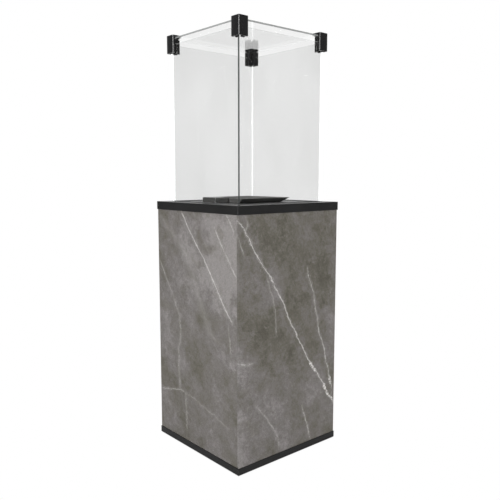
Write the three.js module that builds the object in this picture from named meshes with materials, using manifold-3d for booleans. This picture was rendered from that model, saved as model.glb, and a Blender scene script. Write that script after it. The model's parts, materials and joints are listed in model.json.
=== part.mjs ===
// Free-standing gas-fire column: a stone-clad steel base with a rear door, a black deck with a burner tray,
// and a glass enclosure whose lid stands clear of the panes in four corner clamps.
// Millimetres, +Z up, front towards -Y, origin on the floor at the centre of the square footprint.

import * as THREE from 'three';
import { mergeVertices } from 'three/addons/utils/BufferGeometryUtils.js';
import { ConvexGeometry } from 'three/addons/geometries/ConvexGeometry.js';
import Module from 'manifold-3d';

const wasm = await Module();
wasm.setup();

// ---------------------------------------------------------------- driving dimensions

const PLAN_HALF = 210;          // half side of the square deck and skirt
const FLOOR_CLEARANCE = 1.5;    // the skirt hangs this far above the floor
const SKIRT_TOP = 22;
const STONE_HALF = 208;         // half side over the stone panels
const STONE_T = 6;
const STONE_TOP = 771;
const DECK_TOP = 797;
const SHEET = 2;                // thin folded steel
const PLATE = 3;                // thick folded steel

const GLASS_HALF = 172;         // half side over the glass panes
const GLASS_T = 6;
const GASKET_T = 2;
const PANE_TOP = 1295;
const LID_BOTTOM = 1311;
const LID_T = 5;

const CLAMP_HALF = 181.5;       // half side over the corner clamps
const CLAMP_SIDE = 36;
const CLAMP_BOTTOM = 1268;
const CLAMP_TOP = 1323;

const POST_LEG = 25;
const REAR_POST_Y = 170;        // rear posts stand forward of the door's swing
const RING_BOTTOM = 751;

const DOOR_HALF = 196.5;
const DOOR_BACK = 182;          // the door's inner face
const DOOR_BOTTOM = 26;
const DOOR_TOP = 702;
const PIVOT = { x: -180, y: 194 };
const LOCK = { x: 165, z: 600 };

const NICHE_BOTTOM = 704;
const NICHE_BACK = 180;
const KNOB = { x: 120, z: 727.5 };
const IGNITER = { x: 60, z: 727.5 };

const TRAY_RIM = 100;           // half side of the burner tray's rim
const TRAY_BASE = 80;           // half side at its foot
const TRAY_TOP = 811;
const WELL_HALF = 72;
const WELL_BOTTOM = 768;
const RING_RADIUS = 50;         // burner ring, to the middle of its tube
const RING_Z = 784;

const VALVE_PORT_Y = 126;
const INJECTOR_BOTTOM = 728;

const INNER_HALF = STONE_HALF - STONE_T;
const CORNERS = [[-1, -1], [1, -1], [-1, 1], [1, 1]];

// ---------------------------------------------------------------- finishes

const FINISH = {
  stone: { color: 0x7c7872, roughness: 0.55, metalness: 0.0 },
  black_steel: { color: 0x1f1f1f, roughness: 0.4, metalness: 0.3 },
  clamp: { color: 0x262626, roughness: 0.35, metalness: 0.5 },
  glass: { color: 0xe8efec, roughness: 0.02, metalness: 0.0, transparent: true, opacity: 0.25 },
  rubber: { color: 0x161616, roughness: 0.9, metalness: 0.0 },
  burner_steel: { color: 0x3c3b39, roughness: 0.45, metalness: 0.7 },
  bright_steel: { color: 0xa8a9ab, roughness: 0.3, metalness: 1.0 },
  brass: { color: 0xb5924c, roughness: 0.35, metalness: 1.0 },
  aluminium: { color: 0xb4b6b8, roughness: 0.45, metalness: 1.0 },
  plastic: { color: 0x1a1a1b, roughness: 0.5, metalness: 0.0 },
  ceramic: { color: 0xeeeae0, roughness: 0.3, metalness: 0.0 },
  magnet: { color: 0x5c4a3a, roughness: 0.6, metalness: 0.0 },
};

const column = new THREE.Group();
const door = new THREE.Group();
const controls = new THREE.Group();
column.add(door, controls);

function cornerName(side, depth) {
  return `${depth < 0 ? 'front' : 'rear'}_${side < 0 ? 'left' : 'right'}`;
}

function add(group, name, finish, geometry, x = 0, y = 0, z = 0) {
  const mesh = new THREE.Mesh(geometry, new THREE.MeshStandardMaterial(FINISH[finish]));
  mesh.name = name;
  mesh.position.set(x, y, z);
  group.add(mesh);
  return mesh;
}

// ---------------------------------------------------------------- shapes

// A box from its lowest to its highest corner.
function box(low, high) {
  const size = high.map((value, i) => value - low[i]);
  const centre = high.map((value, i) => (value + low[i]) / 2);
  return new THREE.BoxGeometry(...size).translate(...centre);
}

// A box node whose own origin is its centre.
function slab(group, name, finish, low, high) {
  const size = high.map((value, i) => value - low[i]);
  const centre = high.map((value, i) => (value + low[i]) / 2);
  return add(group, name, finish, new THREE.BoxGeometry(...size), ...centre);
}

// A round bar along +Z from z = 0. Six sides make a hexagon bar.
function bar(radius, length, sides = 24) {
  return new THREE.CylinderGeometry(radius, radius, length, sides)
    .rotateX(Math.PI / 2)
    .translate(0, 0, length / 2);
}

// The same bar along +Y from y = 0, and along +X from x = 0.
function barY(radius, length, sides) {
  return bar(radius, length, sides).rotateX(-Math.PI / 2);
}

function barX(radius, length, sides) {
  return bar(radius, length, sides).rotateY(Math.PI / 2);
}

// A body turned about Z from [radius, z] points.
function turned(points, sides) {
  const profile = points.map(([radius, z]) => new THREE.Vector2(radius, z));
  return new THREE.LatheGeometry(profile, sides).rotateX(Math.PI / 2);
}

// A flat outline in X and Y, raised from z = 0.
function raised(outline, height) {
  const shape = new THREE.Shape(outline.map(([x, y]) => new THREE.Vector2(x, y)));
  return new THREE.ExtrudeGeometry(shape, { depth: height, bevelEnabled: false });
}

function solid(geometry) {
  const plain = geometry.clone();
  plain.deleteAttribute('normal');
  plain.deleteAttribute('uv');
  const merged = mergeVertices(plain, 1e-4);
  return new wasm.Manifold(new wasm.Mesh({
    numProp: 3,
    vertProperties: new Float32Array(merged.attributes.position.array),
    triVerts: new Uint32Array(merged.index.array),
  }));
}

function surface(manifold) {
  const mesh = manifold.getMesh();
  const geometry = new THREE.BufferGeometry();
  geometry.setAttribute('position', new THREE.BufferAttribute(new Float32Array(mesh.vertProperties), 3));
  geometry.setIndex(new THREE.BufferAttribute(new Uint32Array(mesh.triVerts), 1));
  geometry.computeVertexNormals();
  return geometry;
}

// The first shape joined with the others, then with every cutter taken away.
function shaped(bodies, cutters = []) {
  let result = solid(bodies[0]);
  for (const body of bodies.slice(1)) {
    result = result.add(solid(body));
  }
  for (const cutter of cutters) {
    result = result.subtract(solid(cutter));
  }
  return surface(result);
}

// A square ring, from inner to outer half side, between two heights.
function squareRing(outer, inner, low, high) {
  return shaped(
    [box([-outer, -outer, low], [outer, outer, high])],
    [box([-inner, -inner, low - 1], [inner, inner, high + 1])],
  );
}

// ---------------------------------------------------------------- base

function buildBase() {
  const flangeInner = 160;
  const skirt = shaped([
    squareRing(PLAN_HALF, PLAN_HALF - PLATE, FLOOR_CLEARANCE, SKIRT_TOP),
    squareRing(PLAN_HALF, flangeInner, SKIRT_TOP - PLATE, SKIRT_TOP),
  ]);
  add(column, 'base_skirt', 'black_steel', skirt);

  const floorHalf = 176;
  const slot = { length: 90, width: 7, pitch: 24, count: 6 };
  const slots = [];
  for (const side of [-1, 1]) {
    for (let i = 0; i < slot.count; i += 1) {
      const y = (i - (slot.count - 1) / 2) * slot.pitch;
      const low = [side * 75 - slot.length / 2, y - slot.width / 2, -1];
      const high = [side * 75 + slot.length / 2, y + slot.width / 2, SHEET + 1];
      slots.push(box(low, high));
    }
  }
  const floor = shaped([box([-floorHalf, -floorHalf, 0], [floorHalf, floorHalf, SHEET])], slots);
  add(column, 'floor_plate', 'black_steel', floor, 0, 0, SKIRT_TOP);

  const footCentre = 183;
  const footHeight = SKIRT_TOP - PLATE;
  const footProfile = [[0, 0], [16, 0], [18, 2], [18, 5], [9, 8], [8, footHeight], [0, footHeight]];
  for (const [side, depth] of CORNERS) {
    const name = `foot_pad_${cornerName(side, depth)}`;
    add(column, name, 'plastic', turned(footProfile, 20), side * footCentre, depth * footCentre, 0);
  }
}

// Angle-section posts: the outside corner of each L sits at (x, y) and its legs run inwards.
function buildPosts() {
  for (const [side, depth] of CORNERS) {
    const leg = POST_LEG;
    const outline = [[0, 0], [leg, 0], [leg, PLATE], [PLATE, PLATE], [PLATE, leg], [0, leg]]
      .map(([u, v]) => [-side * u, -depth * v]);
    const post = raised(outline, RING_BOTTOM - SKIRT_TOP);
    const name = `corner_post_${cornerName(side, depth)}`;
    const y = depth < 0 ? -INNER_HALF : REAR_POST_Y;
    add(column, name, 'black_steel', post, side * INNER_HALF, y, SKIRT_TOP);
  }
  const ring = shaped([
    squareRing(INNER_HALF, INNER_HALF - PLATE, RING_BOTTOM, STONE_TOP),
    squareRing(INNER_HALF, INNER_HALF - POST_LEG, STONE_TOP - PLATE, STONE_TOP),
  ]);
  add(column, 'upper_frame', 'black_steel', ring);
}

// The front panel laps over the ends of the side panels, which stop a hairline short of it.
function buildStone() {
  const joint = 0.5;
  slab(column, 'stone_panel_front', 'stone',
    [-STONE_HALF, -STONE_HALF, SKIRT_TOP], [STONE_HALF, -INNER_HALF, STONE_TOP]);
  slab(column, 'stone_panel_left', 'stone',
    [-STONE_HALF, -INNER_HALF + joint, SKIRT_TOP], [-INNER_HALF, STONE_HALF, STONE_TOP]);
  slab(column, 'stone_panel_right', 'stone',
    [INNER_HALF, -INNER_HALF + joint, SKIRT_TOP], [STONE_HALF, STONE_HALF, STONE_TOP]);
}

// ---------------------------------------------------------------- deck and burner

function buildDeck() {
  const returnWidth = 18;
  const holeHalf = WELL_HALF + 1;
  const deck = shaped([
    box([-PLAN_HALF, -PLAN_HALF, DECK_TOP - PLATE], [PLAN_HALF, PLAN_HALF, DECK_TOP]),
    squareRing(PLAN_HALF, PLAN_HALF - PLATE, STONE_TOP, DECK_TOP),
    squareRing(PLAN_HALF, PLAN_HALF - returnWidth, STONE_TOP, STONE_TOP + SHEET),
  ], [
    box([-holeHalf, -holeHalf, STONE_TOP], [holeHalf, holeHalf, DECK_TOP + 1]),
  ]);
  add(column, 'top_deck', 'black_steel', deck);
}

// A four-sided solid whose rectangle changes from the bottom to the top.
function tapered(bottom, low, top, high) {
  const corners = [];
  for (const [rect, z] of [[bottom, low], [top, high]]) {
    for (const [x, y] of [[rect.x0, rect.y0], [rect.x1, rect.y0], [rect.x1, rect.y1], [rect.x0, rect.y1]]) {
      corners.push(new THREE.Vector3(x, y, z));
    }
  }
  return new ConvexGeometry(corners);
}

// The tray flares on three sides. Its left side is upright, where the ignition box stands against it.
function buildTray() {
  const lip = 3;
  const foot = { x0: -TRAY_RIM, x1: TRAY_BASE, y0: -TRAY_BASE, y1: TRAY_BASE };
  const rim = { x0: -TRAY_RIM, x1: TRAY_RIM, y0: -TRAY_RIM, y1: TRAY_RIM };
  const shrink = (rect) => ({ x0: rect.x0 + lip, x1: rect.x1 - lip, y0: rect.y0 + lip, y1: rect.y1 - lip });
  const wellInner = WELL_HALF - SHEET;
  const feedHole = bar(7, 12, 16).translate(0, RING_RADIUS, WELL_BOTTOM - 4);
  const tray = shaped([
    tapered(foot, DECK_TOP, rim, TRAY_TOP),
    box([-WELL_HALF, -WELL_HALF, WELL_BOTTOM], [WELL_HALF, WELL_HALF, DECK_TOP + 1]),
  ], [
    tapered(shrink(foot), DECK_TOP + SHEET, shrink(rim), TRAY_TOP + SHEET),
    box([-wellInner, -wellInner, WELL_BOTTOM + SHEET], [wellInner, wellInner, TRAY_TOP]),
    feedHole,
  ]);
  add(column, 'burner_tray', 'burner_steel', tray);
}

function buildBurner() {
  const tube = 7;
  const bore = 5.4;
  const portCount = 12;
  const feedBottom = 746;
  const feed = { x: 0, y: RING_RADIUS };
  const portCutters = [];
  for (let i = 0; i < portCount; i += 1) {
    const angle = (i + 0.5) * (2 * Math.PI / portCount);
    const x = RING_RADIUS * Math.cos(angle);
    const y = RING_RADIUS * Math.sin(angle);
    portCutters.push(bar(1.6, tube + 2, 6).translate(x, y, RING_Z));
  }
  const ring = shaped([
    new THREE.TorusGeometry(RING_RADIUS, tube, 8, 24).translate(0, 0, RING_Z),
    bar(6, RING_Z - feedBottom, 16).translate(feed.x, feed.y, feedBottom),
  ], [
    new THREE.TorusGeometry(RING_RADIUS, bore, 8, 24).translate(0, 0, RING_Z),
    bar(4.6, RING_Z - feedBottom + 1, 16).translate(feed.x, feed.y, feedBottom - 1),
    ...portCutters,
  ]);
  add(column, 'burner_ring', 'bright_steel', ring);

  const injector = shaped([
    bar(8, 16, 6),
    bar(3, 24, 12),
  ], [
    bar(0.8, 30, 6).translate(0, 0, -3),
  ]);
  add(column, 'injector', 'brass', injector, feed.x, feed.y, INJECTOR_BOTTOM);

  const igniteLow = [-156, -36, DECK_TOP];
  const igniteHigh = [-TRAY_RIM - 2, 30, DECK_TOP + 17];
  slab(column, 'ignition_box', 'burner_steel', igniteLow, igniteHigh);

  const probeFoot = WELL_BOTTOM + SHEET;
  const thermocouple = turned([[0, 0], [3, 0], [3, 10], [1.6, 12], [1.6, 30], [0, 32]], 12);
  add(column, 'thermocouple', 'bright_steel', thermocouple, -30, 12, probeFoot);
  const electrode = turned([[0, 0], [3.4, 0], [3.4, 14], [1.2, 15], [1.2, 27], [0, 28]], 12);
  add(column, 'spark_electrode', 'ceramic', electrode, -30, -12, probeFoot);
}

// ---------------------------------------------------------------- glass

// The front and rear panes lap over the ends of the side panes.
function buildGlass() {
  const inner = GLASS_HALF - GLASS_T;
  const joint = 0.5;
  const foot = DECK_TOP + GASKET_T;
  const rim = 1;
  add(column, 'glass_gasket', 'rubber', squareRing(GLASS_HALF + rim, inner - rim, DECK_TOP, foot));
  for (const [name, low, high] of [['front', -GLASS_HALF, -inner], ['rear', inner, GLASS_HALF]]) {
    slab(column, `glass_pane_${name}`, 'glass', [-GLASS_HALF, low, foot], [GLASS_HALF, high, PANE_TOP]);
  }
  for (const [name, low, high] of [['left', -GLASS_HALF, -inner], ['right', inner, GLASS_HALF]]) {
    slab(column, `glass_pane_${name}`, 'glass', [low, joint - inner, foot], [high, inner - joint, PANE_TOP]);
  }
  slab(column, 'glass_lid', 'glass',
    [-GLASS_HALF, -GLASS_HALF, LID_BOTTOM], [GLASS_HALF, GLASS_HALF, LID_BOTTOM + LID_T]);
}

// A clamp's own frame: u and v run inwards from its outside corner, along X and along Y.
function clampFrame(side, depth) {
  const x = (u) => -side * u;
  const y = (v) => -depth * v;
  const cuboid = (u0, u1, v0, v1, z0, z1) => box(
    [Math.min(x(u0), x(u1)), Math.min(y(v0), y(v1)), z0],
    [Math.max(x(u0), x(u1)), Math.max(y(v0), y(v1)), z1],
  );
  // The same cuboid on both legs of the clamp: as given, and with u and v changed over.
  const bothLegs = (u0, u1, v0, v1, z0, z1) => [
    cuboid(u0, u1, v0, v1, z0, z1),
    cuboid(v0, v1, u0, u1, z0, z1),
  ];
  return { x, y, cuboid, bothLegs };
}

// The clamp's square outline, with its corners rounded by short facets.
function clampOutline(frame) {
  const radius = 4;
  const steps = 3;
  const near = radius;
  const far = CLAMP_SIDE - radius;
  const outline = [];
  for (const [u, v, start] of [[near, near, 180], [far, near, 270], [far, far, 0], [near, far, 90]]) {
    for (let i = 0; i <= steps; i += 1) {
      const angle = THREE.MathUtils.degToRad(start + (90 * i) / steps);
      outline.push([frame.x(u + radius * Math.cos(angle)), frame.y(v + radius * Math.sin(angle))]);
    }
  }
  return outline;
}

// Each clamp is one casting: a square cap over the lid's corner, two outside walls, and at the end of each
// leg a saddle that bridges the top edge of a pane. The lid rests on the saddles, clear of the panes.
// A moulded rubber liner keeps the glass off the metal, over and under the lid and round each pane's top.
function buildClamps() {
  const wall = 4;
  const capBottom = 1319;
  const saddleTop = 1308.5;
  const saddleBottom = PANE_TOP + 2.5;
  const saddleStart = 24;
  const end = CLAMP_SIDE;
  const outer = CLAMP_HALF - GLASS_HALF;
  const inner = outer + GLASS_T;
  const liner = 1;
  const jawInner = inner + liner;
  const jawEnd = 22;
  const padInset = 2;
  const padBottom = CLAMP_BOTTOM + padInset;
  const lidTop = LID_BOTTOM + LID_T;
  const screw = { v: 30, z: 1281, radius: 2.5, depth: 3 };

  for (const [side, depth] of CORNERS) {
    const f = clampFrame(side, depth);
    const place = cornerName(side, depth);
    const corner = [side * CLAMP_HALF, depth * CLAMP_HALF, 0];
    const cap = raised(clampOutline(f), CLAMP_TOP - CLAMP_BOTTOM).translate(0, 0, CLAMP_BOTTOM);
    const hollow = f.cuboid(wall, end + 1, wall, end + 1, CLAMP_BOTTOM - 1, capBottom);
    const sockets = [
      barX(screw.radius, 2 * screw.depth, 6).translate(f.x(jawEnd) - screw.depth, f.y(screw.v), screw.z),
      barY(screw.radius, 2 * screw.depth, 6).translate(f.x(screw.v), f.y(jawEnd) - screw.depth, screw.z),
    ];
    const saddles = [
      ...f.bothLegs(wall, outer - liner, saddleStart, end, CLAMP_BOTTOM, saddleTop),
      ...f.bothLegs(wall, jawEnd, saddleStart, end, saddleBottom, saddleTop),
      ...f.bothLegs(jawInner, jawEnd, saddleStart, end, CLAMP_BOTTOM, saddleTop),
    ];
    const clamp = shaped([shaped([cap], [hollow]), ...saddles], sockets);
    add(column, `corner_clamp_${place}`, 'clamp', clamp, ...corner);

    const pads = shaped([
      ...f.bothLegs(outer - 2 * liner, jawEnd, saddleStart - padInset - 2, end, saddleTop, LID_BOTTOM),
      ...f.bothLegs(outer - 2 * liner, outer, saddleStart - padInset - 2, end, saddleTop, capBottom),
      f.cuboid(outer - 2 * liner, end - padInset, outer - 2 * liner, end - padInset, lidTop, capBottom),
      ...f.bothLegs(outer - liner, jawInner, saddleStart - padInset, saddleStart, PANE_TOP, saddleTop),
      ...f.bothLegs(outer - liner, jawInner, saddleStart - padInset, end, PANE_TOP, saddleBottom),
      ...f.bothLegs(outer - liner, outer, saddleStart, end, padBottom, PANE_TOP),
      ...f.bothLegs(inner, jawInner, saddleStart, end, padBottom, PANE_TOP),
    ]);
    add(column, `clamp_liner_${place}`, 'rubber', pads, ...corner);
  }
}

// ---------------------------------------------------------------- rear door

function buildDoor() {
  const doorY = STONE_HALF - STONE_T;
  const lip = 14;
  const sleeve = { outer: 5.4, inner: 3.9, length: 14 };
  const pinRadius = 3.5;
  const lockHole = barY(8.5, 30, 16).translate(LOCK.x, doorY - 4, LOCK.z);

  const panel = box([-DOOR_HALF, doorY, DOOR_BOTTOM], [DOOR_HALF, STONE_HALF, DOOR_TOP]);
  const stone = shaped([panel], [lockHole]);
  add(door, 'stone_panel_door', 'stone', stone);

  const pivotHoles = [DOOR_BOTTOM, DOOR_TOP].map(
    (z) => bar(sleeve.outer + 0.3, 8, 20).translate(PIVOT.x, PIVOT.y, z - 4),
  );
  const tray = shaped([
    box([-DOOR_HALF, DOOR_BACK, DOOR_BOTTOM], [DOOR_HALF, doorY, DOOR_TOP]),
  ], [
    box([SHEET - DOOR_HALF, DOOR_BACK + SHEET, DOOR_BOTTOM + SHEET],
      [DOOR_HALF - SHEET, doorY - SHEET, DOOR_TOP - SHEET]),
    box([lip - DOOR_HALF, DOOR_BACK - 1, DOOR_BOTTOM + lip],
      [DOOR_HALF - lip, doorY - SHEET, DOOR_TOP - lip]),
    lockHole,
    ...pivotHoles,
  ]);
  add(door, 'door_tray', 'black_steel', tray);

  const sleeveShape = () => shaped(
    [bar(sleeve.outer, sleeve.length, 20)],
    [bar(sleeve.inner, sleeve.length + 2, 20).translate(0, 0, -1)],
  );
  add(door, 'pivot_bush_lower', 'plastic', sleeveShape(), PIVOT.x, PIVOT.y, DOOR_BOTTOM - 0.5);
  add(door, 'pivot_bush_upper', 'plastic', sleeveShape(), PIVOT.x, PIVOT.y, DOOR_TOP + 0.5 - sleeve.length);

  const plateLow = [PIVOT.x - 14, PIVOT.y - 10, SKIRT_TOP];
  const plateHigh = [PIVOT.x + 14, PIVOT.y + 10, SKIRT_TOP + PLATE];
  const lowerPin = shaped([
    box(plateLow, plateHigh),
    bar(pinRadius, 17, 20).translate(PIVOT.x, PIVOT.y, SKIRT_TOP),
  ]);
  add(column, 'door_pivot_lower', 'bright_steel', lowerPin);
  const pinTop = NICHE_BOTTOM + SHEET;
  const upperPin = turned([[0, -17], [pinRadius, -17], [pinRadius, 0], [7, 0], [7, 2.5], [0, 2.5]], 20);
  add(column, 'door_pivot_upper', 'bright_steel', upperPin, PIVOT.x, PIVOT.y, pinTop);

  for (const [name, z] of [['lower', 90], ['upper', 655]]) {
    slab(column, `magnet_catch_${name}`, 'magnet',
      [180, REAR_POST_Y, z - 14], [198, REAR_POST_Y + 10, z + 14]);
    slab(door, `catch_strike_${name}`, 'bright_steel',
      [183, DOOR_BACK - 1.5, z - 12], [195, DOOR_BACK, z + 12]);
  }
}

// A quarter turn swings the lock's cam from pointing down to behind the keeper.
function buildLock() {
  const camBack = 175.5;
  const camT = 3;
  const headT = 1.5;
  const barrelLength = STONE_HALF - camBack - camT;
  const barrel = shaped([
    barY(7.6, barrelLength, 20).translate(0, camBack + camT, 0),
    barY(12, headT, 24).translate(0, STONE_HALF, 0),
  ], [
    box([-8, STONE_HALF + 0.4, -1.2], [8, STONE_HALF + headT + 1, 1.2]),
  ]);
  add(door, 'lock_barrel', 'bright_steel', barrel, LOCK.x, 0, LOCK.z);
  const cam = raised([[-7, 8], [-7, -26], [-3, -30], [3, -30], [7, -26], [7, 8]], camT)
    .rotateX(Math.PI / 2)
    .translate(0, camT, 0);
  add(door, 'lock_cam', 'bright_steel', cam, LOCK.x, camBack, LOCK.z);
  const keeperHalf = 15;
  const back = REAR_POST_Y + SHEET;
  const web = INNER_HALF - SHEET;
  const keeper = raised([
    [182, REAR_POST_Y], [INNER_HALF, REAR_POST_Y], [INNER_HALF, 181.5], [186, 181.5],
    [186, 179.5], [web, 179.5], [web, back], [182, back],
  ], 2 * keeperHalf);
  add(column, 'lock_keeper', 'bright_steel', keeper, 0, 0, LOCK.z - keeperHalf);
}

// ---------------------------------------------------------------- control niche, valve and igniter

function buildNiche() {
  const half = INNER_HALF - 0.5;
  const back = NICHE_BACK + SHEET;
  const niche = shaped([
    box([-half, NICHE_BACK, NICHE_BOTTOM], [half, STONE_HALF, RING_BOTTOM]),
    box([-half, STONE_HALF - SHEET, RING_BOTTOM - SHEET], [half, STONE_HALF, STONE_TOP - 0.5]),
  ], [
    box([SHEET - half, back, NICHE_BOTTOM + SHEET], [half - SHEET, STONE_HALF + 1, RING_BOTTOM - SHEET]),
    barY(7, 8, 20).translate(KNOB.x, NICHE_BACK - 3, KNOB.z),
    barY(10.3, 8, 20).translate(IGNITER.x, NICHE_BACK - 3, IGNITER.z),
    bar(4, 8, 20).translate(PIVOT.x, PIVOT.y, NICHE_BOTTOM - 3),
  ]);
  add(controls, 'control_niche', 'black_steel', niche);
}

function buildValve() {
  const bodyLow = [-16, 112, -14];
  const bodyHigh = [16, 176, 16];
  const sleeve = { outer: 5, inner: 3.3, from: 152, length: 30 };
  const valve = shaped([
    box(bodyLow, bodyHigh),
    barY(12, NICHE_BACK - bodyHigh[1], 24).translate(0, bodyHigh[1], 0),
    bar(8, 12, 16).rotateY(-Math.PI / 2).translate(bodyLow[0] + 2, VALVE_PORT_Y, 0),
  ], [
    barY(sleeve.outer + 0.3, 40, 20).translate(0, sleeve.from - 5, 0),
  ]);
  add(controls, 'gas_valve', 'aluminium', valve, KNOB.x, 0, KNOB.z);
  const inlet = shaped([
    bar(10, 8, 6).translate(0, 0, 12),
    bar(6.5, 13, 16),
  ], [
    bar(3, 22, 12).translate(0, 0, -1),
  ]);
  add(controls, 'gas_inlet', 'brass', inlet, KNOB.x, VALVE_PORT_Y, KNOB.z + bodyLow[2] - 20);

  const pushSleeve = shaped(
    [barY(sleeve.outer, sleeve.length, 20)],
    [barY(sleeve.inner, sleeve.length + 2, 16).translate(0, -1, 0)],
  );
  add(controls, 'push_sleeve', 'brass', pushSleeve, KNOB.x, sleeve.from, KNOB.z);
  const spindle = shaped(
    [barY(3, 44, 16)],
    [box([-3, 34, 1.6], [3, 45, 4])],
  );
  add(controls, 'knob_spindle', 'bright_steel', spindle, KNOB.x, sleeve.from + 1, KNOB.z);

  const knobBack = 187;
  const skirt = { radius: 19.5, length: 5 };
  const grip = { radius: 17.5, length: 12, lobes: 8, flute: 2.6 };
  const flutes = [];
  for (let i = 0; i < grip.lobes; i += 1) {
    const angle = (i * 2 * Math.PI) / grip.lobes;
    const reach = grip.radius + 1.2;
    flutes.push(barY(grip.flute, grip.length + 4, 8)
      .translate(reach * Math.cos(angle), skirt.length, reach * Math.sin(angle)));
  }
  const knob = shaped([
    barY(skirt.radius, skirt.length, 40),
    barY(grip.radius, grip.length, 40).translate(0, skirt.length, 0),
    box([-1.2, 16, 7], [1.2, 17.8, 16.5]),
  ], [
    barY(3.4, 11, 16).translate(0, -1, 0),
    ...flutes,
  ]);
  add(controls, 'control_knob', 'plastic', knob, KNOB.x, knobBack, KNOB.z);

  add(controls, 'burner_pipe', 'bright_steel', pipeShape(bodyLow[0] - 10));
}

// The pipe leaves the valve towards -X, turns forward and down, and comes up under the injector.
function pipeShape(startX) {
  const bend = 16;
  const corners = [
    new THREE.Vector3(KNOB.x + startX, VALVE_PORT_Y, KNOB.z),
    new THREE.Vector3(0, VALVE_PORT_Y, KNOB.z),
    new THREE.Vector3(0, RING_RADIUS, KNOB.z - 26),
    new THREE.Vector3(0, RING_RADIUS, INJECTOR_BOTTOM),
  ];
  const path = new THREE.CurvePath();
  let from = corners[0];
  for (let i = 1; i < corners.length - 1; i += 1) {
    const before = corners[i - 1].clone().sub(corners[i]).setLength(bend).add(corners[i]);
    const after = corners[i + 1].clone().sub(corners[i]).setLength(bend).add(corners[i]);
    path.add(new THREE.LineCurve3(from, before));
    path.add(new THREE.QuadraticBezierCurve3(before, corners[i], after));
    from = after;
  }
  path.add(new THREE.LineCurve3(from, corners[corners.length - 1]));
  const section = new THREE.Shape().absarc(0, 0, 4, 0, 2 * Math.PI);
  return new THREE.ExtrudeGeometry(section, { steps: 26, extrudePath: path, curveSegments: 5 });
}

function buildIgniter() {
  const bodyStart = 140;
  const bezel = 3;
  const face = NICHE_BACK + SHEET;
  const buttonStart = 172;
  const body = shaped([
    barY(10, face - bodyStart, 20),
    barY(13, bezel, 28).translate(0, face - bodyStart, 0),
  ], [
    barY(7.3, 60, 20).translate(0, buttonStart - 6 - bodyStart, 0),
  ]);
  add(controls, 'piezo_igniter', 'plastic', body, IGNITER.x, bodyStart, IGNITER.z);
  const button = turned([[0, 0], [7, 0], [7, 17], [6, 18], [0, 18.6]], 24).rotateX(-Math.PI / 2);
  add(controls, 'igniter_button', 'bright_steel', button, IGNITER.x, buttonStart, IGNITER.z);
}

buildBase();
buildPosts();
buildStone();
buildDeck();
buildTray();
buildBurner();
buildGlass();
buildClamps();
buildDoor();
buildLock();
buildNiche();
buildValve();
buildIgniter();

export default column;
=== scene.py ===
"""Looks for the gas-fire column: stone-clad base, black deck with a burner tray, and a glass enclosure."""

import json
import math

import bmesh
import bpy
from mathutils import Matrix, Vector

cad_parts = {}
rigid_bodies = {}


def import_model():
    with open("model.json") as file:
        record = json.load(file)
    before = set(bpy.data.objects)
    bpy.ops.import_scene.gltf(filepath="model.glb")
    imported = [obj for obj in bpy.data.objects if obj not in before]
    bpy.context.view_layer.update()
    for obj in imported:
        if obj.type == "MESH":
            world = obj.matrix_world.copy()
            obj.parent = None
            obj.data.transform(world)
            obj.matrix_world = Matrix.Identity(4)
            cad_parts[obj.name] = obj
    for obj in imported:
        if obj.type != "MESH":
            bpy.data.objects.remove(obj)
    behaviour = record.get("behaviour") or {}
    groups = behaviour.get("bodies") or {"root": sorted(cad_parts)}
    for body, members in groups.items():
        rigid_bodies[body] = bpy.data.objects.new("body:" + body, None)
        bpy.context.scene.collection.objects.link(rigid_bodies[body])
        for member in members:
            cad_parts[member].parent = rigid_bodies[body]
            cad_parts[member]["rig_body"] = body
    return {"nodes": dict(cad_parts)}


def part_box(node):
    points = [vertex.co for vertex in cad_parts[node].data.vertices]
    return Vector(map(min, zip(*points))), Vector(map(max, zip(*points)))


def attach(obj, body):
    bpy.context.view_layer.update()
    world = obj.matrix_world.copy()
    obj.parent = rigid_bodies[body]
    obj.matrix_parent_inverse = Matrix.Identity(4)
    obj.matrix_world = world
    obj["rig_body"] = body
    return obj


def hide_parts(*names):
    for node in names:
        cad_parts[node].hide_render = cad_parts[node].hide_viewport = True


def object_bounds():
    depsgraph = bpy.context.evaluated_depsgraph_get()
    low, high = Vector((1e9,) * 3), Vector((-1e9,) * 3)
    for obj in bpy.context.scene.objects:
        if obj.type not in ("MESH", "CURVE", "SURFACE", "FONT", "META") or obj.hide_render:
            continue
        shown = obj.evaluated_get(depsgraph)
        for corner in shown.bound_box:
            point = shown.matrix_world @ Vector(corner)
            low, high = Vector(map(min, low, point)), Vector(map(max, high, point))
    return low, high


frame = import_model()
cad_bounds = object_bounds()
nodes = frame["nodes"]

MM = 0.001
CORNERS = ("front_left", "front_right", "rear_left", "rear_right")
HALF_SIDE = cad_bounds[1][0]
clamp_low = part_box("corner_clamp_rear_right")[0]
CLAMP_REACH = clamp_low[0]
CLAMP_FOOT = clamp_low[2]

# The camera stands off the near left corner, a little above the deck, and looks slightly down.
CAMERA_PLACE = (-1.2838, -1.5102, 0.8817)
CAMERA_TILT_DOWN = 0.1229
CAMERA_HEADING = 0.8604 - math.pi / 2
CAMERA_LENS = 43.5

STONE_EDGE = 0.6 * MM                    # how far the slabs' edges are softened
SHARP_ANGLE = math.radians(40.0)         # edges that turn less than this are smooth
FLAT_ANGLE = math.radians(0.5)           # and faces that turn less than this are one flat

PURE_WHITE = (1.0, 1.0, 1.0, 1.0)
FLOOR_HALF = 3.2


# ---------------------------------------------------------------- node helpers


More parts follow.
